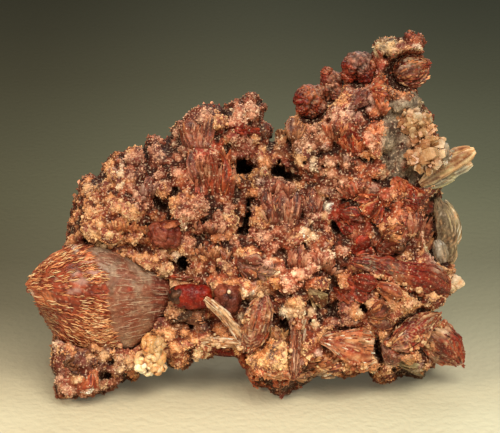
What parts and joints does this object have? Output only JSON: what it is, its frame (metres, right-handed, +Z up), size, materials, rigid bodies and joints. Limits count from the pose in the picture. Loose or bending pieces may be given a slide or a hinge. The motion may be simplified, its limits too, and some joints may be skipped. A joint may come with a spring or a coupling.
{
  "type": "stilbite and heulandite mineral specimen",
  "caption": "Upright rusty red mineral specimen: a vuggy, crystal-crusted matrix with a big stilbite sheaf at one side, smaller sheaves, balls and tabular heulandite crystals.",
  "frame": {"origin": "on the ground, under the middle of the specimen's bounding box", "axes": "+X along the specimen's length, with the large sheaf at the -X end; -Y is the display side; +Z up"},
  "size_m": [0.0992, 0.0476, 0.0795],
  "materials": {
    "matrix_crust": "matte",
    "stilbite_rust": "satin",
    "stilbite_red": "satin",
    "stilbite_tan": "satin",
    "stilbite_grey": "satin",
    "heulandite_deep_red": "gloss",
    "heulandite_red": "satin",
    "heulandite_peach": "satin",
    "calcite_cream": "satin"
  },
  "bodies": {
    "root": {"matrix": "matrix_crust", "stilbite_sheaf_large": "stilbite_rust", "heulandite_red_center": "heulandite_deep_red", "heulandite_red_left": "heulandite_red", "heulandite_dark_center": "heulandite_deep_red", "calcite_cluster": "calcite_cream", "stilbite_ball_outer": "stilbite_rust", "stilbite_knob_upper": "stilbite_rust", "stilbite_ball_top": "stilbite_rust", "stilbite_barrel_crown": "stilbite_red", "stilbite_fin": "stilbite_grey", "stilbite_plates_right": "stilbite_grey", "heulandite_tip_right": "heulandite_peach", "heulandite_peach_upper": "heulandite_peach", "heulandite_peach_lower": "heulandite_peach", "stilbite_sheaf_right": "stilbite_red", "stilbite_bow_lower_right": "stilbite_red", "stilbite_wedge_lower_right": "stilbite_red", "stilbite_fan_lower_center": "stilbite_rust", "stilbite_sheaf_center": "stilbite_rust", "stilbite_blade_cross": "stilbite_tan", "stilbite_blade_vertical": "stilbite_red"}
  },
  "joints": []
}
